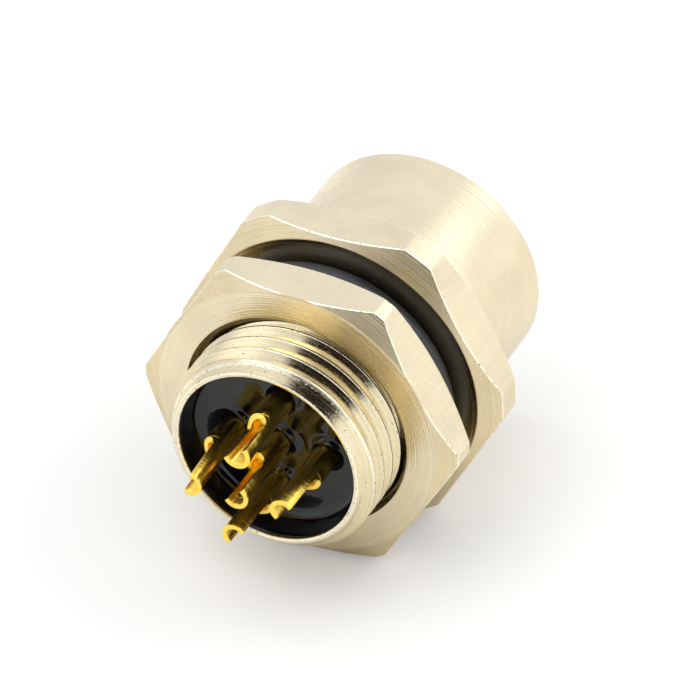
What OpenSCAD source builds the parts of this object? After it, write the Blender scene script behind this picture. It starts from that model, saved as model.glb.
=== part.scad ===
// Panel socket with a five-pole insert, a hexagonal flange, a seal ring and a lock nut.
// Millimetres. +Y points along the axis towards the mating end, +Z is up.
// The origin is on the axis, in the plane of the flange's seat, which bears on the panel.

/* [Shank] */
// Major diameter of the thread on the shank
thread_d = 12; // [11.8:0.1:13]
// Pitch of the shank's thread and of the mating thread
thread_pitch = 1; // [0.75:0.25:1.25]
// Length of the shank behind the flange
shank_len = 8.2; // [7.4:0.2:10]
// Bevel at the start of the thread
thread_bevel = 0.75; // [0.3:0.05:0.8]
// Bore at the solder end
rear_bore_d = 10; // [9.4:0.1:10.2]
// Length of the relief groove beside the flange
neck_len = 1.8; // [1.6:0.1:1.9]

/* [Flange] */
// Thickness of the flange
flange_t = 3; // [2.4:0.1:4]
// Width of the flange across its flats
flange_af = 17; // [16.5:0.1:19]
// How far the flange's sharp corners are turned down
flange_corner_trim = 0.465; // [0.2:0.005:0.7]
// Diameter of the flat seat face, inside the bevel
flange_seat_d = 16.4; // [15.4:0.1:16.8]
// Diameter of the front face, inside the bevel
flange_front_d = 15.9; // [15:0.1:16.6]
// Slope of the bevels on both hexagons
bevel_slope = 30; // [20:1:35]

/* [Barrel] */
// Outside diameter of the barrel
barrel_d = 13.5; // [13.2:0.1:14.6]
// Length of the barrel in front of the flange
barrel_len = 8; // [7:0.2:10]
// Bevel on the barrel's outer edge
barrel_bevel = 0.3; // [0.1:0.05:0.4]
// Major diameter of the mating thread inside the barrel
mating_thread_d = 12; // [11.6:0.1:12.2]
// Countersink in the mouth, wider than the mating thread by this much on the radius
mouth_relief = 0.15; // [0.05:0.05:0.2]
// Depth of the mating cavity from the barrel's end
cavity_depth = 7.2; // [6:0.1:8]
// Thickness of the web that the carrier seats against
web_t = 1.8; // [1.2:0.1:2.4]

/* [Carrier] */
// Diameter of the carrier's nose
carrier_d = 8.8; // [8.4:0.1:9]
// Radial gap between the carrier and the shell
carrier_gap = 0.05; // [0.02:0.01:0.08]
// Thickness of the carrier's rear collar
carrier_collar_t = 3; // [2:0.1:3.4]
// How far the carrier's face lies below the barrel's end
carrier_recess = 1; // [0.4:0.1:2]
// Bevel round the carrier's face
carrier_bevel = 0.3; // [0.1:0.05:0.5]
// Width of the keyway
key_w = 1.2; // [0.8:0.1:1.6]
// Depth of the keyway
key_depth = 0.6; // [0.3:0.1:0.7]
// Narrow end of the funnel that lets a pin in through the carrier's face
pin_hole_d = 1.3; // [1.2:0.05:1.5]
// How much wider the funnel is at the face, on the radius
pin_lead_in = 0.15; // [0.05:0.05:0.25]
// Thickness of the wall in front of the sockets
face_wall_t = 0.9; // [0.6:0.1:1.5]

/* [Contacts] */
// Diameter of the circle that the outer contacts stand on
contact_circle_d = 5.3; // [5.1:0.05:5.6]
// Turn of the contact pattern about the axis
contact_turn = 4; // [0:1:20]
// Diameter of a contact's socket
socket_d = 1.7; // [1.5:0.05:1.9]
// Bore of a socket, for a 1 mm pin
socket_bore_d = 1.04; // [1.02:0.01:1.1]
// Depth of a socket's bore
socket_depth = 5.5; // [4.5:0.1:6.5]
// Width of the slot that splits a socket
slot_w = 0.25; // [0.2:0.05:0.3]
// Length of that slot
slot_len = 4; // [3:0.1:4.4]
// Gap between a socket's end and the wall in front of it
socket_end_gap = 0.1; // [0.05:0.05:0.3]
// Radial gap between a socket and its channel
socket_gap = 0.05; // [0.02:0.01:0.1]
// Diameter of a contact's collar
collar_d = 2.1; // [2:0.05:2.3]
// Thickness of a contact's collar
collar_t = 0.8; // [0.5:0.1:1.2]
// Diameter of a contact's tail and solder cup
cup_d = 1.4; // [1.2:0.05:1.5]
// Bore of the solder cup
cup_bore_d = 0.9; // [0.7:0.05:1]
// Depth of the solder cup's bore
cup_bore_depth = 3.4; // [2.8:0.1:4]
// How far the solder cups stand out past the shank
cup_reach = 3.4; // [2:0.1:4]
// Length of the side that is cut away from a cup
cup_cut_len = 3.1; // [2:0.1:3.3]
// Height of the cut above the cup's axis
cup_cut_rise = 0.12; // [0.05:0.01:0.25]
// Radius at the closed end of the cut
cup_cut_r = 0.9; // [0.7:0.05:1.4]

/* [Potting] */
// Depth of the potting's surface below the rim of the shank
potting_depth = 2; // [1:0.1:3]
// Radial gap between the potting and what it fills
potting_gap = 0.02; // [0.01:0.01:0.04]

/* [Seal ring] */
// Thickness of the ring
seal_t = 1.75; // [1.5:0.05:1.8]
// Radial gap between the ring and the relief groove
seal_gap = 0.1; // [0.05:0.05:0.2]

/* [Lock nut] */
// How much narrower than the flange the nut is, across the flats
nut_af_step = 1; // [0:0.1:1.4]
// Thickness of the nut
nut_t = 2.6; // [2:0.1:3.4]
// How far the nut's sharp corners are turned down
nut_corner_trim = 0.19; // [0.1:0.01:0.5]
// Diameter of the nut's outer face, inside the bevel
nut_rear_d = 16.2; // [15.2:0.1:16.6]
// Diameter of the face that clamps the panel, inside the bevel
nut_front_d = 15.8; // [15:0.1:16.4]
// Space between the flange's seat and the nut
nut_space = 2.1; // [2.1:0.1:2.6]
// Radial running clearance of the nut on the thread
nut_clearance = 0.05; // [0.03:0.01:0.1]
// How far the nut's countersinks open past the thread, on the radius
nut_sink = 0.25; // [0.15:0.05:0.6]
// Turn of the nut about the axis
nut_turn = 1.8; // [0:0.1:59]

/* [Hidden] */
$fn = 96;

// Directions that the five cups open in, about the axis, from the side opposite +X towards +Z
cup_facing = [27, 57, 217, 225, 48];
poles = 4;
past = 1;
cut_steps = 8;
// Share of a thread's flat lengths that is at the bottom of its grooves
groove_share = 0.55;

thread_r = thread_d / 2;
rear_bore_r = rear_bore_d / 2;
// Depth of a 60 degree thread from crest to root, as a share of its pitch
neck_r = thread_r - 0.6134 * thread_pitch;
tap_r = mating_thread_d / 2 - 0.5413 * thread_pitch;
mouth_r = mating_thread_d / 2 + mouth_relief;
barrel_r = barrel_d / 2;
web_r = carrier_d / 2 + carrier_gap;
nut_af = flange_af - nut_af_step;

rim_z = -shank_len;
barrel_z = flange_t + barrel_len;
cavity_floor_z = barrel_z - cavity_depth;
shoulder_z = cavity_floor_z - web_t;
shank_thread_end_z = -neck_len - (thread_r - neck_r);
mouth_z = barrel_z - (mouth_r - tap_r);
carrier_face_z = barrel_z - carrier_recess;
carrier_rear_z = shoulder_z - carrier_collar_t;
channel_end_z = carrier_face_z - face_wall_t;
socket_end_z = channel_end_z - socket_end_gap;
potting_z = rim_z + potting_depth;
cup_end_z = rim_z - cup_reach;

// Carries a part drawn round the Z axis over to the connector's own axis, with its +Y upwards
module along_axis() {
    rotate([90, 0, 180]) children();
}

module at_contact(i) {
    angle = contact_turn + i * 360 / poles;
    reach = i < poles ? contact_circle_d / 2 : 0;
    translate([reach * cos(angle), reach * sin(angle), 0]) children();
}

// A slice of hexagonal bar with both faces bevelled and its corners turned down
module bevelled_hexagon(across, corner_trim, low_face_d, high_face_d, thickness) {
    sharp_d = across / cos(30);
    corner_d = sharp_d - 2 * corner_trim;
    low_rise = (corner_d - low_face_d) / 2 * tan(bevel_slope);
    high_rise = (corner_d - high_face_d) / 2 * tan(bevel_slope);
    intersection() {
        cylinder(d = sharp_d, h = thickness, $fn = 6);
        rotate_extrude()
            polygon([
                [0, 0],
                [low_face_d / 2, 0],
                [corner_d / 2, low_rise],
                [corner_d / 2, thickness - high_rise],
                [high_face_d / 2, thickness],
                [0, thickness]
            ]);
    }
}

// Profile points of a thread's grooves, cut from the land at crest_r to groove_r, one for each whole pitch
function thread_grooves(crest_r, groove_r, low_z, high_z) =
    let (flank = abs(crest_r - groove_r) * tan(30), bottom = (thread_pitch - 2 * flank) * groove_share)
    [
        for (k = [0 : floor((high_z - low_z) / thread_pitch) - 1])
            let (z = low_z + k * thread_pitch)
            each [
                [crest_r, z],
                [groove_r, z + flank],
                [groove_r, z + flank + bottom],
                [crest_r, z + 2 * flank + bottom]
            ]
    ];

module shell_outside() {
    rotate_extrude()
        polygon([
            [0, rim_z],
            [thread_r - thread_bevel, rim_z],
            each thread_grooves(thread_r, neck_r, rim_z + thread_bevel, shank_thread_end_z),
            [thread_r, shank_thread_end_z],
            [neck_r, -neck_len],
            [neck_r, flange_t / 2],
            [barrel_r, flange_t / 2],
            [barrel_r, barrel_z - barrel_bevel],
            [barrel_r - barrel_bevel, barrel_z],
            [0, barrel_z]
        ]);
    bevelled_hexagon(flange_af, flange_corner_trim, flange_seat_d, flange_front_d, flange_t);
}

// The bore at the solder end, the web's hole and the mating cavity, in one turned shape
module shell_inside() {
    rotate_extrude()
        polygon([
            [0, rim_z - past],
            [rear_bore_r, rim_z - past],
            [rear_bore_r, shoulder_z],
            [web_r, shoulder_z],
            [web_r, cavity_floor_z],
            [tap_r, cavity_floor_z],
            each thread_grooves(tap_r, mating_thread_d / 2, cavity_floor_z + thread_pitch / 4, mouth_z),
            [tap_r, mouth_z],
            [mouth_r, barrel_z],
            [mouth_r, barrel_z + past],
            [0, barrel_z + past]
        ]);
}

module shell() {
    color("#d8cdb0")
        along_axis()
            difference() {
                shell_outside();
                shell_inside();
            }
}

module carrier_body() {
    nose_r = carrier_d / 2;
    collar_r = rear_bore_r - carrier_gap;
    rotate_extrude()
        polygon([
            [0, carrier_rear_z],
            [collar_r, carrier_rear_z],
            [collar_r, shoulder_z],
            [nose_r, shoulder_z],
            [nose_r, carrier_face_z - carrier_bevel],
            [nose_r - carrier_bevel, carrier_face_z],
            [0, carrier_face_z]
        ]);
}

// One stepped hole: room for the collar, the channel of the socket, and the pin's way in
module contact_channel() {
    collar_hole_r = collar_d / 2 + socket_gap;
    channel_r = socket_d / 2 + socket_gap;
    funnel_r = pin_hole_d / 2 + pin_lead_in;
    rotate_extrude()
        polygon([
            [0, carrier_rear_z - past],
            [collar_hole_r, carrier_rear_z - past],
            [collar_hole_r, carrier_rear_z + collar_t],
            [channel_r, carrier_rear_z + collar_t],
            [channel_r, channel_end_z],
            [pin_hole_d / 2, channel_end_z],
            [funnel_r, carrier_face_z],
            [funnel_r, carrier_face_z + past],
            [0, carrier_face_z + past]
        ]);
}

module keyway() {
    rotate([0, 0, contact_turn + 180 / poles])
        translate([carrier_d / 2 - key_depth, -key_w / 2, cavity_floor_z])
            cube([key_depth + past, key_w, cavity_depth]);
}

module contact_carrier() {
    color("#1c1c1e")
        along_axis()
            difference() {
                carrier_body();
                for (i = [0 : poles])
                    at_contact(i) contact_channel();
                keyway();
            }
}

module contact_turning() {
    rotate_extrude()
        polygon([
            [0, cup_end_z],
            [cup_d / 2, cup_end_z],
            [cup_d / 2, carrier_rear_z],
            [collar_d / 2, carrier_rear_z],
            [collar_d / 2, carrier_rear_z + collar_t],
            [socket_d / 2, carrier_rear_z + collar_t],
            [socket_d / 2, socket_end_z],
            [0, socket_end_z]
        ]);
}

// Side view of what is milled off a cup: straight along the cup, then up in an arc
module cup_cut() {
    arc_z = cup_end_z + cup_cut_len - cup_cut_r;
    arc = [
        for (i = [0 : cut_steps])
            [cup_cut_rise + cup_cut_r * (1 - cos(90 * i / cut_steps)), arc_z + cup_cut_r * sin(90 * i / cut_steps)]
    ];
    top = cup_d / 2 + past;
    outline = concat([[top, cup_end_z - past], [cup_cut_rise, cup_end_z - past]], arc, [[top, arc_z + cup_cut_r]]);
    rotate([90, 0, 0])
        linear_extrude(cup_d + past, center = true)
            polygon(outline);
}

module contact(i) {
    color("#d9a441")
        along_axis()
            at_contact(i)
                difference() {
                    contact_turning();
                    translate([0, 0, cup_end_z - past])
                        cylinder(d = cup_bore_d, h = cup_bore_depth + past, $fn = 48);
                    translate([0, 0, socket_end_z - socket_depth])
                        cylinder(d = socket_bore_d, h = socket_depth + past, $fn = 48);
                    translate([-socket_d, -slot_w / 2, socket_end_z - slot_len])
                        cube([2 * socket_d, slot_w, slot_len + past]);
                    rotate([0, 0, cup_facing[i]])
                        cup_cut();
                }
}

module potting() {
    color("#101012")
        along_axis()
            difference() {
                translate([0, 0, potting_z])
                    cylinder(r = rear_bore_r - potting_gap, h = carrier_rear_z - potting_z);
                for (i = [0 : poles])
                    at_contact(i)
                        translate([0, 0, potting_z - past])
                            cylinder(r = cup_d / 2 + potting_gap, h = shank_len + 2 * past, $fn = 48);
            }
}

module panel_seal() {
    color("#22242a")
        along_axis()
            translate([0, 0, -seal_t / 2])
                rotate_extrude()
                    translate([neck_r + seal_gap + seal_t / 2, 0])
                        circle(d = seal_t, $fn = 48);
}

module nut_hole() {
    hole_r = thread_r + nut_clearance;
    sink_r = thread_r + nut_sink;
    sink = sink_r - hole_r;
    rotate_extrude()
        polygon([
            [0, -past],
            [sink_r, -past],
            [sink_r, 0],
            [hole_r, sink],
            [hole_r, nut_t - sink],
            [sink_r, nut_t],
            [sink_r, nut_t + past],
            [0, nut_t + past]
        ]);
}

module lock_nut() {
    color("#d8cdb0")
        along_axis()
            translate([0, 0, -nut_space - nut_t])
                rotate([0, 0, nut_turn])
                    difference() {
                        bevelled_hexagon(nut_af, nut_corner_trim, nut_rear_d, nut_front_d, nut_t);
                        nut_hole();
                    }
}

shell();
contact_carrier();
contact(0);  // contact_1
contact(1);  // contact_2
contact(2);  // contact_3
contact(3);  // contact_4
contact(4);  // contact_5
potting();
panel_seal();
lock_nut();
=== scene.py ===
# A panel connector as it lies on a white table, solder cups towards the viewer.
# Lengths are millimetres until a mesh is made. Blender's own unit here is the metre.

import math

import bmesh
import bpy
import numpy as np
from mathutils import Matrix, Vector


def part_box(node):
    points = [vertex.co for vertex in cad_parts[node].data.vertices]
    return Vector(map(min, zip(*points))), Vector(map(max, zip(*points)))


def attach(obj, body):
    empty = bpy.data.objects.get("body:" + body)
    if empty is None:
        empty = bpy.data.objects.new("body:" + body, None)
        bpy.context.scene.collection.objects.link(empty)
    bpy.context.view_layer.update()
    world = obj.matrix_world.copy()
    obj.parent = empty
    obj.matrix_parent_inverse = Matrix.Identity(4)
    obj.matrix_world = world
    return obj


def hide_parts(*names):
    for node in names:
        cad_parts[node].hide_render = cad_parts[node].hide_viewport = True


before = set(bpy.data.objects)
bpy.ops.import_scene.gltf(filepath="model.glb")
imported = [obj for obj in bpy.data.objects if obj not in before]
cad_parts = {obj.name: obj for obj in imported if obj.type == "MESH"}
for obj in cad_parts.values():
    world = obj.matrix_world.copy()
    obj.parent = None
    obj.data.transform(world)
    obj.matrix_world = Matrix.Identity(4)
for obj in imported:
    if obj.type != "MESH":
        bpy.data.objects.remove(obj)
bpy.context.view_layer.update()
MM = 0.001


# ---------------------------------------------------------------------------
# Camera. It looks down on the solder end from the right, with a long lens,
# and leans a little to its right.

HEADING = math.radians(27.53)
DOWNWARD = math.radians(36.56)
LEAN = math.radians(-2.42)
AIM = Vector((0.408, 0.942, 0.872))
VIEW_DISTANCE = 348.0
FOCAL_LENGTH = 342.85
SENSOR_WIDTH = 36

ahead = Vector(
    (-math.sin(HEADING) * math.cos(DOWNWARD), math.cos(HEADING) * math.cos(DOWNWARD), -math.sin(DOWNWARD))
)
level = Vector((math.cos(HEADING), math.sin(HEADING), 0))
upright = level.cross(ahead)
right = level * math.cos(LEAN) + upright * math.sin(LEAN)
up = upright * math.cos(LEAN) - level * math.sin(LEAN)

lens = bpy.data.cameras.new("camera")
lens.lens = FOCAL_LENGTH
lens.sensor_width = SENSOR_WIDTH
lens.clip_start = 0.01
lens.clip_end = 10
camera = bpy.data.objects.new("camera", lens)
bpy.context.collection.objects.link(camera)
camera.matrix_world = (
    Matrix.Translation((AIM - ahead * VIEW_DISTANCE) * MM) @ Matrix((right, up, -ahead)).transposed().to_4x4()
)
scene = bpy.context.scene
scene.camera = camera
scene.view_settings.view_transform = "Standard"


# ---------------------------------------------------------------------------
# Table. A white sheet that the flange's lowest flat lies on. Its near edge
# is close, and the bright metal reflects the room past it.

TABLE_TONE = (0.885, 0.875, 0.845, 1)
# The share of plain white that the camera sees in the sheet, and how bright that white is
TABLE_LIFT = 0.20
TABLE_GLOW = 1.12
NEAR_EDGE = 48.0
NEAR_TURN = math.radians(18)
TABLE_REACH = 1500.0


def put(tree, kind, feeds=(), **settings):
    """Adds a node with its settings, and feeds its inputs from values or sockets.

    A dict feeds inputs by name or number. A list feeds them in their order.
    """
    made = tree.nodes.new(kind)
    for name, value in settings.items():
        setattr(made, name, value)
    for key, source in feeds.items() if isinstance(feeds, dict) else enumerate(feeds):
        if isinstance(source, bpy.types.Node):
            source = source.outputs[0]
        if isinstance(source, bpy.types.NodeSocket):
            tree.links.new(source, made.inputs[key])
        else:
            made.inputs[key].default_value = source
    return made


def calc(tree, operation, *values):
    return put(tree, "ShaderNodeMath", values, operation=operation).outputs[0]


def new_material(name):
    material = bpy.data.materials.new(name)
    material.use_nodes = True
    material.node_tree.nodes.clear()
    return material, material.node_tree


def mesh_object(name, points, faces):
    """A mesh object at the origin, from points in millimetres."""
    mesh = bpy.data.meshes.new(name)
    places = [tuple(p) for p in np.asarray(points) * MM]
    mesh.from_pydata(places, [], [tuple(map(int, f)) for f in faces])
    mesh.update()
    made = bpy.data.objects.new(name, mesh)
    bpy.context.collection.objects.link(made)
    return made


table_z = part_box("shell")[0][2] / MM
near = Vector((math.sin(NEAR_TURN), -math.cos(NEAR_TURN), 0))
side = Vector((math.cos(NEAR_TURN), math.sin(NEAR_TURN), 0))
down_to_table = Vector((0, 0, table_z))
corners = [
    near * NEAR_EDGE - side * TABLE_REACH,
    near * NEAR_EDGE + side * TABLE_REACH,
    -near * TABLE_REACH + side * TABLE_REACH,
    -near * TABLE_REACH - side * TABLE_REACH,
]
table = mesh_object("table", [c + down_to_table for c in corners], [(0, 1, 2, 3)])
paper, tree = new_material("white_table")
path = put(tree, "ShaderNodeLightPath")
matt = put(tree, "ShaderNodeBsdfDiffuse", {"Color": TABLE_TONE, "Roughness": 0.5})
white = put(tree, "ShaderNodeEmission", {"Color": (1, 1, 1, 1), "Strength": TABLE_GLOW})
lift = calc(tree, "MULTIPLY", path.outputs["Is Camera Ray"], TABLE_LIFT)
lifted = put(tree, "ShaderNodeMixShader", [lift, matt, white])
put(tree, "ShaderNodeOutputMaterial", [lifted])
table.data.materials.append(paper)


# ---------------------------------------------------------------------------
# Light. A white room with soft bright panels overhead, left and right, one
# lamp high on the right, and the dark place where the viewer stands.

ROOM_TOP = (1.01, 1.03, 1.12, 1)
ROOM_LEFT = (0.95, 0.97, 1.05, 1)
ROOM_RIGHT = (1.18, 1.20, 1.27, 1)
# Round patches of the room: heading to the right of -Y, rise above the table, the
# angles where the soft edge starts and ends, and colour. The last is the dark place.
PANELS = [
    (-70, 70, 14, 32, (2.6, 2.6, 2.55)),
    (93, 8, 14, 40, (1.42, 1.40, 1.34)),
    (-40, 12, 8, 20, (1.38, 1.40, 1.46)),
    (17.5, 25, 23, 28, (0.018, 0.012, 0.010)),
]
KEY_PLACE = Vector((330, 260, 420))
KEY_SIZE = 320
KEY_POWER = 0.55

world = bpy.data.worlds.new("white_room")
scene.world = world
world.use_nodes = True
tree = world.node_tree
tree.nodes.clear()
way = put(tree, "ShaderNodeTexCoord").outputs["Generated"]
xyz = put(tree, "ShaderNodeSeparateXYZ", [way])
across = put(tree, "ShaderNodeMapRange", [xyz.outputs["X"], -0.8, 0.8], interpolation_type="SMOOTHSTEP")
walls = put(tree, "ShaderNodeMixRGB", [across, ROOM_LEFT, ROOM_RIGHT])
height = put(tree, "ShaderNodeMapRange", [xyz.outputs["Z"], 0.1, 0.9], interpolation_type="SMOOTHSTEP")
room = put(tree, "ShaderNodeMixRGB", [height, walls, ROOM_TOP])
for heading, rise, inner, outer, tone in PANELS:
    heading, rise = math.radians(heading), math.radians(rise)
    centre = (math.sin(heading) * math.cos(rise), -math.cos(heading) * math.cos(rise), math.sin(rise))
    facing = put(tree, "ShaderNodeVectorMath", [way, centre], operation="DOT_PRODUCT").outputs["Value"]
    limits = [math.cos(math.radians(outer)), math.cos(math.radians(inner))]
    share = put(tree, "ShaderNodeMapRange", [facing, *limits], interpolation_type="SMOOTHSTEP")
    room = put(tree, "ShaderNodeMixRGB", [share, room, tone + (1,)])
path = put(tree, "ShaderNodeLightPath")
seen = put(tree, "ShaderNodeMixRGB", [path.outputs["Is Camera Ray"], room, (1, 1, 1, 1)])
put(tree, "ShaderNodeOutputWorld", [put(tree, "ShaderNodeBackground", [seen, 1.0])])

lamp = bpy.data.lights.new("key_lamp", "AREA")
lamp.shape = "DISK"
lamp.size = KEY_SIZE * MM
lamp.energy = KEY_POWER
key = bpy.data.objects.new("key_lamp", lamp)
bpy.context.collection.objects.link(key)
key.location = KEY_PLACE * MM
key.rotation_euler = (-KEY_PLACE).to_track_quat("-Z", "Y").to_euler()


# ---------------------------------------------------------------------------
# Shell. One piece of hexagonal brass bar, turned, milled, threaded outside
# and inside, and plated with nickel that the light makes warm.

SHANK_END = -8.2
RIM_OUTER = 5.25
RIM_CHAMFER = 0.72
REAR_BORE = 5.0
# From here to the rim the bore may show, so its rows are closer together
BORE_SHOWN = -5.6
THREAD_CREST = 5.97
THREAD_DEPTH = 0.57
PITCH = 1.0
THREAD_EDGE = 0.03
# Where a groove's flank meets its floor and its crest, from 0 to 1 across half a pitch
FLANK = (0.10, 0.86)
# A crest's edges lie this far from its middle, in turns. Rows this near to them get the worn finish, which is
# real wear and a painted highlight.
CREST_HALF = 0.07
RUBBED_HIGHLIGHT = 0.025
NECK_RADIUS = 5.387
NECK_START = -1.8
NECK_SLOPE = 0.6
FLANGE = {"half_flat": 8.5, "corner": 9.35, "turn": 30.0, "near_face": 8.2, "far_face": 7.95}
FLANGE_THICK = 3.0
BARREL_RADIUS = 6.75
BARREL_END = 11.0
BARREL_BEVEL = 0.3
MOUTH_RADIUS = 6.15
SOCKET_CREST = 5.459
CAVITY_FLOOR = 3.8
WEB_RADIUS = 4.45
SHOULDER = 2.0
BEVEL_RISE = math.tan(math.radians(30))
CORNER_SOFTNESS = 0.03
WELD = 0.002
# Each stretch of a profile keeps a row this close to both its ends
EDGE_ROW = 0.05

# The worn finish paints a highlight onto edges besides its real pits and specks. The last two finishes are
# darker copies of the nickel that paint shade into the gap by the flange and into the nut's bore.
# Finishes, in the order of a turned piece's material slots
THREADED, TURNED, MILLED, BEVELLED, ROLLED, WORN_AND_HIGHLIGHT, GAP_SHADE, BORE_SHADE = range(8)


def plain(radius, height):
    """A profile corner that is the same all round.

    It holds radius and height, each as a fixed part and a share of the hexagon's reach.
    """
    return np.array([radius, 0.0, height, 0.0])


def on_hexagon(height, share):
    """A profile corner on the hexagon's own surface."""
    return np.array([0.0, 1.0, height, share])


def profile_rows(corners, reach):
    """Rows from corner to corner of a profile, with each corner rounded off.

    A corner is (point, rounding radius, finish of the stretch after it, longest step along that stretch).
    The hexagon's edges and the rear rim get the worn finish, which is real wear and a painted highlight.
    """
    flat = np.array([[p[0] + p[1] * reach, p[2] + p[3] * reach] for p, *_ in corners])
    rows, finishes = [], []
    last = len(corners) - 1
    for k, (point, rounding, finish, step) in enumerate(corners):
        if 0 < k < last:
            into = (flat[k] - flat[k - 1]) / np.linalg.norm(flat[k] - flat[k - 1])
            out = (flat[k + 1] - flat[k]) / np.linalg.norm(flat[k + 1] - flat[k])
            turn = math.acos(np.clip(into @ out, -1, 1))
            cut = rounding * math.tan(turn / 2)
            for s in (0, 0.25, 0.5, 0.75, 1):
                shift = cut * (s * s * out - (1 - s) ** 2 * into)
                rows.append(point + np.array([shift[0], 0, shift[1], 0]))
                finishes.append(WORN_AND_HIGHLIGHT if s < 1 and (point[1] or point[2] == SHANK_END) else finish)
        else:
            rows.append(point)
            finishes.append(finish)
        if k < last:
            rows.append(None)
            finishes.append((finish, step))
    out_rows, out_finishes = [], []
    for k, row in enumerate(rows):
        if row is not None:
            out_rows.append(row)
            out_finishes.append(finishes[k])
            continue
        finish, step = finishes[k]
        a, b = rows[k - 1], rows[k + 1]
        length = math.hypot(b[0] - a[0] + (b[1] - a[1]) * reach, b[2] - a[2] + (b[3] - a[3]) * reach)
        hold = min(EDGE_ROW / length, 0.25)
        count = max(int(math.ceil(length / step)), 1)
        shares = [hold] + [hold + (1 - 2 * hold) * n / count for n in range(1, count)] + [1 - hold]
        for share in shares:
            out_rows.append(a + (b - a) * share)
            out_finishes.append(finish)
    return np.array(out_rows), out_finishes


def thread_band(low, high, radius_at, crest, angles, phases, finish, upwards):
    """Rows that follow the lead of a thread between two heights, so that every crest is one clean line.

    The phases are the places of the rows in each turn. The edges of the crests get the worn finish, with its
    painted highlight, where the rows run upwards, which only the outer thread's do.
    """
    turns = np.array(angles) / 360
    count = len(phases) * (int(math.ceil((high - low) / PITCH)) + 2)
    rows = np.array([k // len(phases) + phases[k % len(phases)] for k in range(count + 1)])
    heights = np.clip(low + (rows[:, None] + turns[None, :] - 1) * PITCH, low, high)
    seam = np.minimum(np.arange(count + 1) + len(phases), count)
    if not upwards:
        heights = heights[::-1]
        seam = count - seam[::-1]
    from_crest = np.abs((low / PITCH + rows + 0.5) % 1 - 0.5)
    rubbed_highlight = upwards & (np.abs(from_crest - CREST_HALF) < RUBBED_HIGHLIGHT)
    return {
        "radius": radius_at(heights),
        "height": heights,
        "crest": np.full_like(heights, crest),
        "seam": seam,
        "finish": [WORN_AND_HIGHLIGHT if edge else finish for edge in rubbed_highlight],
    }


def even_band(rows, finishes, angles):
    """Rows of a profile that are level all round."""
    ones = np.ones(len(angles))
    return {
        "radius": rows[:, 0:1] * ones,
        "radius_share": rows[:, 1:2] * ones,
        "height": rows[:, 2:3] * ones,
        "height_share": rows[:, 3:4] * ones,
        "crest": np.zeros((len(rows), len(angles))),
        "seam": np.arange(len(rows)),
        "finish": finishes,
    }


def ring_mesh(name, bands, angles):
    """A closed ring from bands of rows, with each point's place in the profile kept as attributes."""
    size = len(angles)
    keys = ["radius", "radius_share", "height", "height_share", "crest"]
    grids = {key: np.vstack([b.get(key, np.zeros_like(b["radius"])) for b in bands]) for key in keys}
    seam, finish, base = [], [], 0
    for band in bands:
        seam += list(band["seam"] + base)
        finish += band["finish"]
        base += len(band["finish"])
    total = base
    faces, kinds = [], []
    for j in range(total):
        k = (j + 1) % total
        kinds += [finish[j]] * size
        faces += [(j * size + i, j * size + i + 1, k * size + i + 1, k * size + i) for i in range(size - 1)]
        faces.append((j * size + size - 1, seam[j] * size, seam[k] * size, k * size + size - 1))
    angle = np.tile(np.radians(angles), total)
    radius = grids["radius"].ravel()
    height = grids["height"].ravel()
    # A first shape, near enough to be a sound mesh before the rule moves it
    points = np.stack([-radius * np.cos(angle), height, radius * np.sin(angle)], axis=1)
    made = mesh_object(name, points, faces)
    mesh = made.data
    values = {key: grid.ravel() * (1 if key.endswith("share") else MM) for key, grid in grids.items()}
    values["angle"] = angle
    for key, value in values.items():
        mesh.attributes.new(key, "FLOAT", "POINT").data.foreach_set("value", value.astype(np.float32))
    mesh.attributes.new("finish", "INT", "FACE").data.foreach_set("value", np.array(kinds, dtype=np.int32))
    return made


# The rule's material inputs, in the order of the finishes
METALS = (
    "Thread Metal",
    "Turned Metal",
    "Milled Metal",
    "Bevelled Metal",
    "Rolled Metal",
    "Worn And Highlight Metal",
    "Gap Shade Metal",
    "Bore Shade Metal",
)


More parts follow.
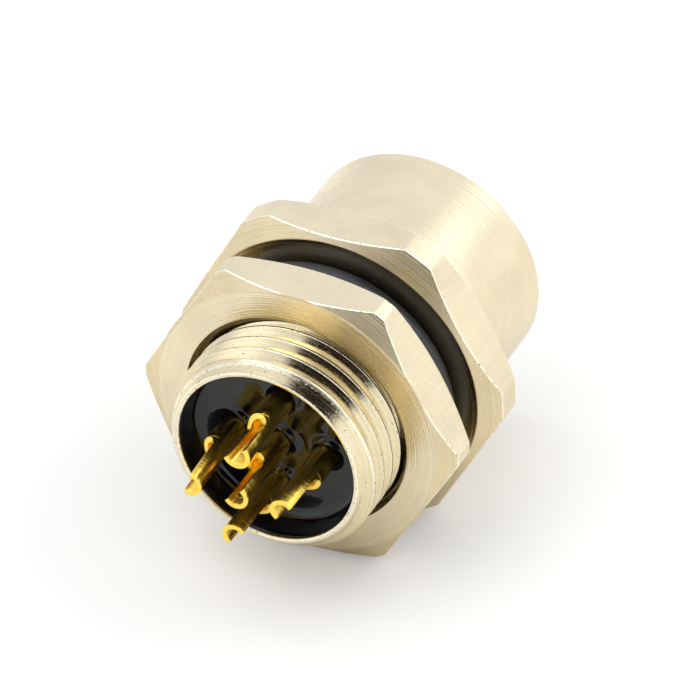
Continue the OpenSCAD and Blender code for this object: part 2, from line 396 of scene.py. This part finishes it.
def turned_piece_rule():
    """The rule of both turned pieces: a hexagon limits the turned shape, and a thread is cut into it."""
    rule = bpy.data.node_groups.new("turn_mill_and_thread", "GeometryNodeTree")
    sockets = rule.interface
    sockets.new_socket("Geometry", in_out="INPUT", socket_type="NodeSocketGeometry")
    for label in ("Half Width", "Corner Radius", "Corner Softness", "Flat Turn", "Pitch", "Thread Depth"):
        sockets.new_socket(label, in_out="INPUT", socket_type="NodeSocketFloat")
    for label in METALS:
        sockets.new_socket(label, in_out="INPUT", socket_type="NodeSocketMaterial")
    sockets.new_socket("Geometry", in_out="OUTPUT", socket_type="NodeSocketGeometry")
    given = put(rule, "NodeGroupInput").outputs

    def field(name):
        return put(rule, "GeometryNodeInputNamedAttribute", [name], data_type="FLOAT").outputs["Attribute"]

    def maths(operation, *values):
        return calc(rule, operation, *values)

    angle = field("angle")
    sixth = math.pi / 3
    off_flat = maths("WRAP", maths("SUBTRACT", angle, given["Flat Turn"]), sixth / 2, -sixth / 2)
    across_flat = maths("DIVIDE", given["Half Width"], maths("COSINE", off_flat))
    reach = maths("SMOOTH_MIN", across_flat, given["Corner Radius"], given["Corner Softness"])
    radius = maths("MULTIPLY_ADD", field("radius_share"), reach, field("radius"))
    height = maths("MULTIPLY_ADD", field("height_share"), reach, field("height"))

    turns = maths("DIVIDE", angle, 2 * math.pi)
    phase = maths("FRACT", maths("SUBTRACT", maths("DIVIDE", height, given["Pitch"]), turns))
    from_groove = maths("MULTIPLY", maths("ABSOLUTE", maths("SUBTRACT", phase, 0.5)), 2)
    sunk = put(rule, "ShaderNodeMapRange", [from_groove, *FLANK, 1.0, 0.0]).outputs[0]
    crest = field("crest")
    hand = maths("SIGN", crest)
    cut = maths("SUBTRACT", crest, maths("MULTIPLY", sunk, given["Thread Depth"]))
    lower = maths("SMOOTH_MIN", maths("MULTIPLY", hand, radius), cut, THREAD_EDGE * MM)
    threaded = maths("MULTIPLY", hand, lower)
    has_thread = maths("ABSOLUTE", hand)
    radius = maths("ADD", radius, maths("MULTIPLY", has_thread, maths("SUBTRACT", threaded, radius)))

    x = maths("MULTIPLY", maths("MULTIPLY", radius, maths("COSINE", angle)), -1)
    z = maths("MULTIPLY", radius, maths("SINE", angle))
    place = put(rule, "ShaderNodeCombineXYZ", [x, height, z])
    shaped = put(rule, "GeometryNodeSetPosition", {"Geometry": given["Geometry"], "Position": place})
    shaped = put(rule, "GeometryNodeMergeByDistance", {"Geometry": shaped, "Distance": WELD * MM})
    shaped = put(rule, "GeometryNodeRealizeInstances", [shaped])
    finish = put(rule, "GeometryNodeInputNamedAttribute", ["finish"], data_type="INT").outputs["Attribute"]
    # Inputs 2 and 3 of a comparison are its two whole numbers
    for number, label in enumerate(METALS):
        here = put(rule, "FunctionNodeCompare", {2: finish, 3: number}, data_type="INT", operation="EQUAL")
        change = {"Geometry": shaped, "Selection": here, "Material": given[label]}
        shaped = put(rule, "GeometryNodeSetMaterial", change)
    put(rule, "NodeGroupOutput", [shaped])
    return rule


# What a ring mesh keeps for the rule, and the finished piece doesn't need
FIELDS = ("radius", "radius_share", "height", "height_share", "crest", "angle", "finish")


def machine(piece, rule, hexagon, groove):
    """Runs the rule on a piece, for a hexagon and a depth of thread, and keeps the result as a plain mesh."""
    inputs = {
        "Half Width": hexagon["half_flat"] * MM,
        "Corner Radius": hexagon["corner"] * MM,
        "Corner Softness": CORNER_SOFTNESS * MM,
        "Flat Turn": math.radians(hexagon["turn"]),
        "Pitch": PITCH * MM,
        "Thread Depth": groove * MM,
        **NICKEL,
    }
    modifier = piece.modifiers.new("rule", "NODES")
    modifier.node_group = rule
    sockets = {s.name: s.identifier for s in rule.interface.items_tree if s.in_out == "INPUT"}
    for label, value in inputs.items():
        modifier[sockets[label]] = value
    graph = bpy.context.evaluated_depsgraph_get()
    mesh = bpy.data.meshes.new_from_object(piece.evaluated_get(graph), depsgraph=graph)
    piece.modifiers.remove(modifier)
    piece.data = mesh
    for attribute in [a.name for a in mesh.attributes if a.name in FIELDS]:
        mesh.attributes.remove(mesh.attributes[attribute])
    point_outwards(mesh)
    mesh.shade_smooth()


def point_outwards(mesh):
    """Turns a closed mesh right side out."""
    work = bmesh.new()
    work.from_mesh(mesh)
    bmesh.ops.recalc_face_normals(work, faces=work.faces)
    if work.calc_volume(signed=True) < 0:
        bmesh.ops.reverse_faces(work, faces=work.faces)
    work.to_mesh(mesh)
    work.free()


def hexagon_angles(hexagon, steps):
    """Angles round a hexagon, close together where a flat turns into its corner."""
    edge = math.degrees(math.acos(hexagon["half_flat"] / hexagon["corner"]))
    close = (-0.4, -0.2, 0, 0.2, 0.4)
    half = list(np.linspace(0, edge - 0.55, steps))
    half += [edge + d for d in close]
    half += list(np.linspace(edge + close[-1], 30, 3))[1:]
    sector = [-d for d in reversed(half[1:])] + half[:-1]
    return sorted((hexagon["turn"] + 60 * k + d) % 360 for k in range(6) for d in sector)


def in_millimetres(tree):
    """Where a point lies on its piece, in millimetres."""
    place = put(tree, "ShaderNodeTexCoord").outputs["Object"]
    return put(tree, "ShaderNodeVectorMath", [place, (1000, 1000, 1000)], operation="MULTIPLY").outputs[0]


def noise(tree, place, scale, detail, **more):
    feeds = {"Vector": place, "Scale": scale, "Detail": detail, **more}
    return put(tree, "ShaderNodeTexNoise", feeds).outputs[0]


def line_noise(tree, line, scale, detail):
    """Noise that changes only along a line."""
    feeds = {"W": line, "Scale": scale, "Detail": detail}
    return put(tree, "ShaderNodeTexNoise", feeds, noise_dimensions="1D").outputs[0]


def ramp(tree, value, *limits):
    """A value mapped from one range, the first two limits, to another, and held inside it."""
    return put(tree, "ShaderNodeMapRange", [value, *limits]).outputs[0]


def surface(material, tree, tone, rough, strength, depth, relief, **more):
    """Ends a material: its colour, its roughness, and relief of a depth in millimetres."""
    bump = put(tree, "ShaderNodeBump", {"Strength": strength, "Distance": depth * MM, "Height": relief})
    looks = {"Base Color": tone, "Roughness": rough, "Normal": bump, **more}
    put(tree, "ShaderNodeOutputMaterial", [put(tree, "ShaderNodeBsdfPrincipled", looks)])
    return material


NICKEL_TONE = (0.82, 0.72, 0.50)
DULLING = 0.88
SPECK_TONE = (0.10, 0.075, 0.04, 1)
# The noise levels between which a pit or a speck goes from none to full
PIT_LEVELS = (0.57, 0.70)
SPECK_LEVELS = (0.655, 0.70)


def nickel(name, grain, depth, shine, tone=NICKEL_TONE, pits=0.0, specks=0.0, spread=0.0):
    """Nickel plate over tool marks.

    The grain names the way that the marks run, and the depth is theirs. The shine is a roughness.
    Pits and specks are shares of their full strength, and spread makes the specks larger.
    """
    material, tree = new_material(name)

    def maths(operation, *values):
        return calc(tree, operation, *values)

    place = in_millimetres(tree)
    part = put(tree, "ShaderNodeSeparateXYZ", [place]).outputs
    radius = maths("SQRT", maths("ADD", maths("POWER", part["X"], 2), maths("POWER", part["Z"], 2)))
    slow = noise(tree, place, 0.35, 3.0)
    if grain == "lengthwise":
        stretch = put(tree, "ShaderNodeVectorMath", [place, (7, 0.22, 7)], operation="MULTIPLY").outputs[0]
        fine = noise(tree, stretch, 1.0, 3.0)
        coarse = noise(tree, stretch, 0.3, 2.0)
    else:
        line = maths("MULTIPLY_ADD", slow, 0.25, radius if grain == "rings" else part["Y"])
        fine = line_noise(tree, line, 9.0, 3.0)
        coarse = line_noise(tree, line, 2.6, 2.0)
    relief = maths("ADD", maths("MULTIPLY", fine, 0.6), maths("MULTIPLY", coarse, 0.4))
    relief = maths("MULTIPLY_ADD", noise(tree, place, 12.0, 4.0), 0.4, relief)
    if pits:
        relief = maths("ADD", relief, ramp(tree, noise(tree, place, 7.0, 4.0), *PIT_LEVELS, 0.0, -pits))
    rough = ramp(tree, fine, 0.3, 0.7, shine - 0.05, shine + 0.06)
    dull = tuple(c * DULLING for c in tone) + (1,)
    share = maths("ADD", maths("MULTIPLY", slow, 0.6), maths("MULTIPLY", fine, 0.4))
    colour = put(tree, "ShaderNodeMixRGB", [ramp(tree, share, 0.40, 0.62), tone + (1,), dull])
    if specks:
        levels = [level - spread for level in SPECK_LEVELS]
        spots = ramp(tree, noise(tree, place, 9.0, 4.0), *levels, 0.0, specks)
        colour = put(tree, "ShaderNodeMixRGB", [spots, colour, SPECK_TONE])
        rough = maths("MULTIPLY_ADD", spots, 0.3, rough)
    return surface(material, tree, colour, rough, 1.0, depth, relief, Metallic=1.0)


NICKEL = {
    "Thread Metal": nickel("nickel_thread", "rings", 0.005, 0.13, (0.805, 0.70, 0.45), pits=0.35, specks=0.75),
    "Turned Metal": nickel("nickel_turned", "rings", 0.015, 0.19, (0.81, 0.715, 0.50), specks=0.25),
    "Milled Metal": nickel("nickel_milled", "lengthwise", 0.016, 0.30, specks=0.2),
    "Bevelled Metal": nickel("nickel_bevelled", "rings", 0.028, 0.40, (0.75, 0.635, 0.40), specks=0.4),
    "Rolled Metal": nickel("nickel_barrel", "round", 0.016, 0.29),
    # Real pits and specks of worn plating, with a paler tone that paints a bright highlight onto edges and
    # crest edges
    "Worn And Highlight Metal": nickel(
        "nickel_worn_and_painted_highlight", "rings", 0.008, 0.22, (0.93, 0.865, 0.68), pits=1.0, specks=0.9, spread=0.04
    ),
    # A darker copy of the nickel: painted shade on the faces in the gap between the nut and the flange
    "Gap Shade Metal": nickel("nickel_painted_gap_shade", "rings", 0.008, 0.16, (0.62, 0.54, 0.36), specks=0.5),
    # A darker copy of the nickel: painted shade in the nut's countersinks and inner thread
    "Bore Shade Metal": nickel("nickel_painted_bore_shade", "rings", 0.006, 0.20, (0.30, 0.245, 0.15), specks=0.6),
}

# Where the rows of a turn of thread lie, closer together at the crest's edges and in the groove's floor
EXTERNAL_PHASES = (0.0, 0.05, 0.07, 0.09, 0.17, 0.25, 0.33, 0.41, 0.45)
EXTERNAL_PHASES += (0.5, 0.55, 0.59, 0.67, 0.75, 0.83, 0.91, 0.93, 0.95)
INTERNAL_PHASES = (0.0, 0.06, 0.08, 0.22, 0.36, 0.45, 0.5, 0.55, 0.64, 0.78, 0.92, 0.94)

shell_angles = hexagon_angles(FLANGE, 16)
band_low = SHANK_END + 0.06
rim_corners = [
    (plain(REAR_BORE, SHOULDER), 0, TURNED, 3.0),
    (plain(REAR_BORE, BORE_SHOWN), 0.01, TURNED, 0.4),
    (plain(REAR_BORE, SHANK_END), 0.14, TURNED, 0.2),
    (plain(RIM_OUTER, SHANK_END), 0.14, THREADED, 0.2),
    (plain(RIM_OUTER + 0.059, band_low - 0.001), 0, THREADED, 1.0),
]
rim_rows, rim_finish = profile_rows(rim_corners, FLANGE["corner"])


def shank_radius(height):
    return np.interp(
        height,
        [SHANK_END, SHANK_END + RIM_CHAMFER, NECK_START - NECK_SLOPE, NECK_START],
        [RIM_OUTER, THREAD_CREST, THREAD_CREST, NECK_RADIUS],
    )


shank_band = thread_band(
    band_low, NECK_START, shank_radius, THREAD_CREST, shell_angles, EXTERNAL_PHASES, THREADED, True
)

near_rise = -FLANGE["near_face"] * BEVEL_RISE
far_rise = FLANGE_THICK + FLANGE["far_face"] * BEVEL_RISE
outer_corners = [
    (plain(NECK_RADIUS, NECK_START + 0.05), 0, TURNED, 0.6),
    # The flange's seat face in the gap before the nut is darkened: painted shade
    (plain(NECK_RADIUS, 0), 0.08, GAP_SHADE, 0.5),
    (plain(FLANGE["near_face"], 0), 0.12, BEVELLED, 0.3),
    (on_hexagon(near_rise, BEVEL_RISE), 0.11, MILLED, 0.45),
    (on_hexagon(far_rise, -BEVEL_RISE), 0.10, BEVELLED, 0.3),
    (plain(FLANGE["far_face"], FLANGE_THICK), 0.12, TURNED, 0.4),
    (plain(BARREL_RADIUS, FLANGE_THICK), 0.06, ROLLED, 0.6),
    (plain(BARREL_RADIUS, BARREL_END - BARREL_BEVEL), 0.08, BEVELLED, 0.2),
    (plain(BARREL_RADIUS - BARREL_BEVEL, BARREL_END), 0.06, TURNED, 0.2),
    (plain(MOUTH_RADIUS, BARREL_END), 0.04, BEVELLED, 0.2),
    (plain(MOUTH_RADIUS - 0.04, BARREL_END - 0.04), 0, THREADED, 1.0),
]
outer_rows, outer_finish = profile_rows(outer_corners, FLANGE["corner"])


def socket_radius(height):
    return np.interp(
        height,
        [CAVITY_FLOOR, BARREL_END - (MOUTH_RADIUS - SOCKET_CREST), BARREL_END],
        [SOCKET_CREST, SOCKET_CREST, MOUTH_RADIUS],
    )


socket_band = thread_band(
    CAVITY_FLOOR,
    BARREL_END - 0.05,
    socket_radius,
    -SOCKET_CREST,
    shell_angles,
    INTERNAL_PHASES,
    THREADED,
    False,
)
floor_corners = [
    (plain(SOCKET_CREST - 0.01, CAVITY_FLOOR), 0, TURNED, 0.4),
    (plain(WEB_RADIUS, CAVITY_FLOOR), 0.05, TURNED, 0.9),
    (plain(WEB_RADIUS, SHOULDER), 0.03, TURNED, 0.5),
    (plain(REAR_BORE - 0.01, SHOULDER), 0, TURNED, 1.0),
]
floor_rows, floor_finish = profile_rows(floor_corners, FLANGE["corner"])

shell = ring_mesh(
    "shell_body",
    [
        even_band(rim_rows, rim_finish, shell_angles),
        shank_band,
        even_band(outer_rows, outer_finish, shell_angles),
        socket_band,
        even_band(floor_rows, floor_finish, shell_angles),
    ],
    shell_angles,
)
turned_rule = turned_piece_rule()
machine(shell, turned_rule, FLANGE, THREAD_DEPTH)
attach(shell, "housing")
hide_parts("shell")


# ---------------------------------------------------------------------------
# Lock nut. A hexagon nut of the same plated brass, bevelled on both faces,
# that runs on the shank's thread and clamps the panel.

NUT = {"half_flat": 8.0, "corner": 9.05, "turn": 31.8, "near_face": 8.02, "far_face": 7.9}
NUT_REAR = -4.7
NUT_FRONT = -2.1
NUT_CREST = 5.5
NUT_SINK = 6.38
NUT_GROOVE = 0.54

nut_angles = hexagon_angles(NUT, 18)
near_rise = NUT_REAR - NUT["near_face"] * BEVEL_RISE
far_rise = NUT_FRONT + NUT["far_face"] * BEVEL_RISE
nut_corners = [
    # The nut's bore edge is darkened: painted shade
    (plain(NUT_SINK - 0.05, NUT_REAR + 0.05), 0, BORE_SHADE, 1.0),
    (plain(NUT_SINK, NUT_REAR), 0.05, TURNED, 0.3),
    (plain(NUT["near_face"], NUT_REAR), 0.12, BEVELLED, 0.3),
    (on_hexagon(near_rise, BEVEL_RISE), 0.11, MILLED, 0.45),
    (on_hexagon(far_rise, -BEVEL_RISE), 0.09, BEVELLED, 0.3),
    # The nut's face towards the flange is darkened: painted shade in the gap
    (plain(NUT["far_face"], NUT_FRONT), 0.12, GAP_SHADE, 0.4),
    (plain(NUT_SINK, NUT_FRONT), 0.05, TURNED, 0.3),
    (plain(NUT_SINK - 0.05, NUT_FRONT - 0.05), 0, THREADED, 1.0),
]
nut_rows, nut_finish = profile_rows(nut_corners, NUT["corner"])


def nut_radius(height):
    sink = NUT_SINK - NUT_CREST
    return np.interp(
        height,
        [NUT_REAR, NUT_REAR + sink, NUT_FRONT - sink, NUT_FRONT],
        [NUT_SINK, NUT_CREST, NUT_CREST, NUT_SINK],
    )


# The nut's countersinks and inner thread are darkened: painted shade in its bore
nut_band = thread_band(
    NUT_REAR + 0.06, NUT_FRONT - 0.06, nut_radius, -NUT_CREST, nut_angles, INTERNAL_PHASES, BORE_SHADE, False
)
nut = ring_mesh("nut_body", [even_band(nut_rows, nut_finish, nut_angles), nut_band], nut_angles)
machine(nut, turned_rule, NUT, NUT_GROOVE)
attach(nut, "lock_nut")
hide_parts("lock_nut")


# ---------------------------------------------------------------------------
# Seal ring. A moulded O-ring of black nitrile rubber that lies in the relief
# groove against the flange. The mould leaves a fine parting line round it.

SEAL_REACH = 6.362
SEAL_SECTION = 0.875
SEAL_HEIGHT = -0.875
PARTING_RIDGE = 0.018
PARTING_WIDTH = 0.006

around = np.radians(np.arange(0, 360, 2.0))
section = np.radians(np.arange(0, 360, 7.5))
swell = SEAL_SECTION + PARTING_RIDGE * (np.exp(-((np.cos(section) - 1) / PARTING_WIDTH) ** 2) - 1)
points = []
for a in around:
    for t, r in zip(section, swell):
        reach = SEAL_REACH + r * math.cos(t)
        points.append((-reach * math.cos(a), SEAL_HEIGHT + r * math.sin(t), reach * math.sin(a)))
m, n = len(around), len(section)
faces = [
    (i * n + j, i * n + (j + 1) % n, (i + 1) % m * n + (j + 1) % n, (i + 1) % m * n + j)
    for i in range(m)
    for j in range(n)
]
seal = mesh_object("seal_ring", points, faces)
point_outwards(seal.data)
seal.data.shade_smooth()

rubber, tree = new_material("nitrile_rubber")
place = in_millimetres(tree)
skin = noise(tree, place, 9.0, 5.0)
cloud = noise(tree, place, 0.8, 3.0)
dust = ramp(tree, noise(tree, place, 7.0, 1.0), 0.76, 0.79, 0.0, 0.6)
tone = put(tree, "ShaderNodeMixRGB", [cloud, (0.010, 0.011, 0.015, 1), (0.022, 0.024, 0.032, 1)])
tone = put(tree, "ShaderNodeMixRGB", [dust, tone, (0.45, 0.44, 0.40, 1)])
rough = ramp(tree, cloud, 0.3, 0.7, 0.30, 0.44)
seal.data.materials.append(surface(rubber, tree, tone, rough, 0.6, 0.012, skin))
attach(seal, "housing")
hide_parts("panel_seal")


# ---------------------------------------------------------------------------
# Contact carrier. A black glass-filled nylon moulding with five stepped holes
# and a keyway, pressed into the shell from behind against its web.

CARRIER_EDGE = 0.05
CARRIER_WELD = 0.0005
FLAT_ENOUGH = math.radians(0.5)

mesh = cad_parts["contact_carrier"].data.copy()
mesh.materials.clear()
work = bmesh.new()
work.from_mesh(mesh)
bmesh.ops.remove_doubles(work, verts=work.verts, dist=CARRIER_WELD * MM)
bmesh.ops.dissolve_limit(work, angle_limit=FLAT_ENOUGH, verts=work.verts, edges=work.edges)
work.to_mesh(mesh)
work.free()
carrier = bpy.data.objects.new("carrier_moulding", mesh)
bpy.context.collection.objects.link(carrier)


def round_edges(piece, width, angle):
    """Rounds a piece's edges that turn by more than an angle in degrees."""
    rounding = piece.modifiers.new("edges", "BEVEL")
    rounding.width = width * MM
    rounding.segments = 2
    rounding.limit_method = "ANGLE"
    rounding.angle_limit = math.radians(angle)


def keep_modifiers(piece, sharp):
    """Makes a piece's modifiers part of its mesh, with edges sharp past an angle in degrees."""
    graph = bpy.context.evaluated_depsgraph_get()
    mesh = bpy.data.meshes.new_from_object(piece.evaluated_get(graph), depsgraph=graph)
    piece.modifiers.clear()
    piece.data = mesh
    point_outwards(mesh)
    mesh.shade_smooth()
    mesh.set_sharp_from_angle(angle=math.radians(sharp))


round_edges(carrier, CARRIER_EDGE, angle=32)
keep_modifiers(carrier, sharp=34)

nylon, tree = new_material("black_nylon")
place = in_millimetres(tree)
spark = noise(tree, place, 11.0, 4.0)
flow = noise(tree, place, 0.7, 3.0, Distortion=0.8)
tone = put(tree, "ShaderNodeMixRGB", [flow, (0.018, 0.018, 0.020, 1), (0.034, 0.034, 0.036, 1)])
rough = ramp(tree, flow, 0.3, 0.7, 0.42, 0.58)
carrier.data.materials.append(surface(nylon, tree, tone, rough, 0.7, 0.014, spark))
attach(carrier, "housing")
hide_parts("contact_carrier")


# ---------------------------------------------------------------------------
# Contacts. Five brass turnings plated with gold: a split socket in front, a
# collar, and a tail with a solder cup whose side is milled away. They are
# pushed into the carrier, and their cups ended up turned each its own way.

CONTACT_CIRCLE = 2.65
PATTERN_TURN = 4.0
CUP_END = -11.6
CUP_RADIUS = 0.70
CUP_BORE = 0.45
CUP_FLOOR = -8.2
CUP_CONE = 0.22
COLLAR_REAR = -1.0
COLLAR_THICK = 0.8
COLLAR_RADIUS = 1.05
SOCKET_END = 9.0
SOCKET_RADIUS = 0.85
SOCKET_BORE = 0.52
SOCKET_FLOOR = 3.5
SOCKET_CONE = 0.25
CONTACT_EDGE = 0.03
CONTACT_WELD = 0.001
CONTACT_COLUMNS = 56
SLOT_WIDTH = 0.25
SLOT_LENGTH = 4.0
CUT_RISE = 0.12
CUT_ROUND = 0.7
FLARE_LENGTH = 0.9
DROOP_START = -8.4
DROOP_LENGTH = 3.2
# For each contact: the way its cup opens in degrees, the length of the cut, the flare of its end, and its droop
CUPS = [
    (20, 3.1, 0.0, 0.22),
    (57, 2.9, 0.07, 0.0),
    (224, 3.1, 0.0, 0.0),
    (225, 3.1, 0.0, 0.0),
    (48, 3.0, 0.02, 0.05),
]


def contact_place(number):
    """A contact's axis, as distances left of and above the middle, where the fifth is."""
    angle = math.radians(PATTERN_TURN + 90 * (number - 1))
    reach = CONTACT_CIRCLE if number < 5 else 0.0
    return reach * math.cos(angle), reach * math.sin(angle)


def contact_mesh(name, cut_length):
    """One contact on its own axis, with its cup open towards +X.

    The cut's edges are strips between the tube's inner and outer surfaces.
    """
    arc_start = CUP_END + cut_length - CUT_ROUND

    def closing(radius):
        return arc_start + CUT_ROUND * math.sin(math.acos(1 - (radius - CUT_RISE) / CUT_ROUND))

    def cut_height(y):
        t = math.asin(np.clip((y - arc_start) / CUT_ROUND, 0, 1))
        return CUT_RISE + CUT_ROUND * (1 - math.cos(t))

    inner_close, outer_close = closing(CUP_BORE), closing(CUP_RADIUS)
    steps = list(np.linspace(CUP_END, arc_start, 22))
    steps += list(np.linspace(arc_start, inner_close, 12)[1:])
    steps += list(np.linspace(inner_close, outer_close, 8)[1:])
    inside = [y for y in steps if y <= inner_close + 1e-9]
    rows = [(0.0, CUP_FLOOR + CUP_CONE), (CUP_BORE / 2, CUP_FLOOR + CUP_CONE / 2), (CUP_BORE, CUP_FLOOR)]
    rows += [(CUP_BORE, y) for y in [outer_close] + inside[::-1]]
    rows += [(CUP_RADIUS, y) for y in steps]
    rows += [(CUP_RADIUS, y) for y in np.linspace(outer_close, COLLAR_REAR, 12)[1:]]
    collar_front = COLLAR_REAR + COLLAR_THICK
    rows += [(COLLAR_RADIUS, COLLAR_REAR), (COLLAR_RADIUS, collar_front), (SOCKET_RADIUS, collar_front)]
    rows += [(SOCKET_RADIUS, SOCKET_END), (SOCKET_BORE, SOCKET_END), (SOCKET_BORE, SOCKET_FLOOR)]
    rows.append((0.0, SOCKET_FLOOR - SOCKET_CONE))
    points, faces = [], []
    for radius, y in rows:
        lift = cut_height(y) if y <= outer_close + 1e-9 else radius
        start = math.acos(lift / radius) if lift < radius else 0.0
        for s in np.linspace(0, 1, CONTACT_COLUMNS + 1):
            angle = start + s * 2 * (math.pi - start)
            points.append((radius * math.cos(angle), y, radius * math.sin(angle)))
    across = CONTACT_COLUMNS + 1
    for k in range(len(rows) - 1):
        low, high = k * across, (k + 1) * across
        faces += [(low + i, low + i + 1, high + i + 1, high + i) for i in range(CONTACT_COLUMNS)]
    # The milled faces, from the bore's edge, or the middle past its end, out to the tube's edge
    for hand in (1, -1):
        base = len(points)
        for y in steps:
            lift = cut_height(y)
            near = math.sqrt(max(CUP_BORE**2 - lift**2, 0)) * hand
            far = math.sqrt(max(CUP_RADIUS**2 - lift**2, 0)) * hand
            points += [(lift, y, near), (lift, y, far)]
        faces += [(k, k + 1, k + 3, k + 2) for k in range(base, base + 2 * (len(steps) - 1), 2)]
    made = mesh_object(name, points, faces)
    work = bmesh.new()
    work.from_mesh(made.data)
    bmesh.ops.remove_doubles(work, verts=work.verts, dist=CONTACT_WELD * MM)
    bmesh.ops.dissolve_degenerate(work, edges=work.edges, dist=CONTACT_WELD / 2 * MM)
    bmesh.ops.recalc_face_normals(work, faces=work.faces)
    work.to_mesh(made.data)
    work.free()
    return made


gold, tree = new_material("gold_plate")
place = in_millimetres(tree)
along = put(tree, "ShaderNodeSeparateXYZ", [place]).outputs["Y"]
cloud = noise(tree, place, 1.4, 3.0)
lathe = line_noise(tree, calc(tree, "MULTIPLY_ADD", cloud, 0.2, along), 11.0, 3.0)
grit = noise(tree, place, 8.0, 4.0)
relief = calc(tree, "ADD", calc(tree, "MULTIPLY", lathe, 0.7), calc(tree, "MULTIPLY", grit, 0.4))
tone = put(tree, "ShaderNodeMixRGB", [cloud, (1.0, 0.73, 0.14, 1), (0.95, 0.64, 0.10, 1)])
rough = ramp(tree, grit, 0.3, 0.7, 0.13, 0.26)
surface(gold, tree, tone, rough, 1.0, 0.015, relief, Metallic=1.0)

# The blade that saws each socket's slot
blade_points = [
    (x, y, z)
    for x in (-1, 1)
    for y in (SOCKET_END - SLOT_LENGTH, SOCKET_END + 1)
    for z in (-SLOT_WIDTH / 2, SLOT_WIDTH / 2)
]
BLADE_FACES = [(0, 1, 3, 2), (4, 6, 7, 5), (0, 4, 5, 1), (2, 3, 7, 6), (0, 2, 6, 4), (1, 5, 7, 3)]

for number, (facing, cut_length, flare, droop) in enumerate(CUPS, 1):
    contact = contact_mesh(f"contact_turning_{number}", cut_length)
    saw = mesh_object("slot_saw", blade_points, BLADE_FACES)
    point_outwards(saw.data)
    slit = contact.modifiers.new("slot", "BOOLEAN")
    slit.object = saw
    slit.solver = "EXACT"
    round_edges(contact, CONTACT_EDGE, angle=40)
    keep_modifiers(contact, sharp=24)
    bpy.data.objects.remove(saw)
    axis_left, axis_rise = contact_place(number)
    turn = math.radians(facing)
    for vertex in contact.data.vertices:
        x, y, z = (c / MM for c in vertex.co)
        open_up = max(0.0, (CUP_END + FLARE_LENGTH - y) / FLARE_LENGTH) ** 1.5
        x, z = x * (1 + flare / CUP_RADIUS * open_up), z * (1 + 1.2 * flare / CUP_RADIUS * open_up)
        bend = max(0.0, (DROOP_START - y) / DROOP_LENGTH) ** 2
        left = x * math.cos(turn) - z * math.sin(turn) + axis_left
        rise = x * math.sin(turn) + z * math.cos(turn) + axis_rise - droop * bend
        vertex.co = (-left * MM, y * MM, rise * MM)
    point_outwards(contact.data)
    contact.data.materials.clear()
    contact.data.materials.append(gold)
    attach(contact, "housing")
    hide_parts(f"contact_{number}")


# ---------------------------------------------------------------------------
# Potting. Black epoxy poured round the contacts' tails up to 2 mm below the
# rim. It set glossy. It climbs every tail a little, and wets the wall almost
# up to the rim with a thin film.

POTTING_LEVEL = -6.2
POTTING_FRONT = -1.02
POTTING_RADIUS = 4.98
FILM = 0.05
FILM_END = -8.03
# How high the resin climbs at the wall and at a tail, and how far from them it still does
WALL_CLIMB = 0.36
WALL_REACH = 0.26
TAIL_CLIMB = 0.32
TAIL_REACH = 0.20
RIPPLE = 0.03
FINE_RIPPLE = 0.006


def potting_surface(x, z):
    """How high the surface stands at a place, counted towards the rim."""
    level = RIPPLE * np.sin(1.1 * x + 0.7) * np.cos(0.9 * z - 0.4)
    level += FINE_RIPPLE * np.sin(2.3 * x - 1.7 * z)
    level += WALL_CLIMB * np.exp(-(POTTING_RADIUS - FILM - np.hypot(x, z)) / WALL_REACH)
    for number in range(1, 6):
        axis_left, axis_rise = contact_place(number)
        gap = np.maximum(np.hypot(x + axis_left, z - axis_rise) - CUP_RADIUS, -0.1)
        level += TAIL_CLIMB * np.exp(-gap / TAIL_REACH)
    return level


around = np.radians(np.arange(0, 360, 1.5))
wet_radius = POTTING_RADIUS - FILM
outward = np.concatenate([np.linspace(0, 4.3, 72)[1:], np.linspace(4.3, wet_radius, 20)[1:]])
points = [(0.0, POTTING_LEVEL - float(potting_surface(0.0, 0.0)), 0.0)]
for radius in outward:
    x, z = -radius * np.cos(around), radius * np.sin(around)
    points += list(zip(x, POTTING_LEVEL - potting_surface(x, z), z))
wave = 0.05 * np.sin(3 * around + 0.4) + 0.03 * np.sin(7 * around)
film = [
    (wet_radius, FILM_END + 0.5),
    (wet_radius + 0.01, FILM_END + 0.06),
    (wet_radius + 0.03, FILM_END),
    (POTTING_RADIUS, FILM_END - 0.02),
]
for radius, height in film + [(POTTING_RADIUS, POTTING_FRONT)]:
    heights = height + wave * (height < POTTING_LEVEL)
    points += list(zip(-radius * np.cos(around), heights, radius * np.sin(around)))
points.append((0.0, POTTING_FRONT, 0.0))
m = len(around)
faces = [(0, 1 + i, 1 + (i + 1) % m) for i in range(m)]
rounds = len(outward) + len(film)
for k in range(rounds):
    low, high = 1 + k * m, 1 + (k + 1) * m
    faces += [(low + i, high + i, high + (i + 1) % m, low + (i + 1) % m) for i in range(m)]
last = 1 + rounds * m
faces += [(len(points) - 1, last + (i + 1) % m, last + i) for i in range(m)]
potting = mesh_object("potting_resin", points, faces)
point_outwards(potting.data)
potting.data.shade_smooth()
potting.data.set_sharp_from_angle(angle=math.radians(60))

resin, tree = new_material("black_epoxy")
place = in_millimetres(tree)
swirl = noise(tree, place, 0.6, 2.0)
dust = ramp(tree, noise(tree, place, 5.0, 1.0), 0.78, 0.80, 0.0, 0.5)
tone = put(tree, "ShaderNodeMixRGB", [swirl, (0.002, 0.002, 0.003, 1), (0.004, 0.004, 0.006, 1)])
tone = put(tree, "ShaderNodeMixRGB", [dust, tone, (0.30, 0.24, 0.10, 1)])
rough = ramp(tree, swirl, 0.3, 0.7, 0.03, 0.07)
potting.data.materials.append(surface(resin, tree, tone, rough, 0.5, 0.05, swirl, IOR=1.46))
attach(potting, "housing")
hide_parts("potting")
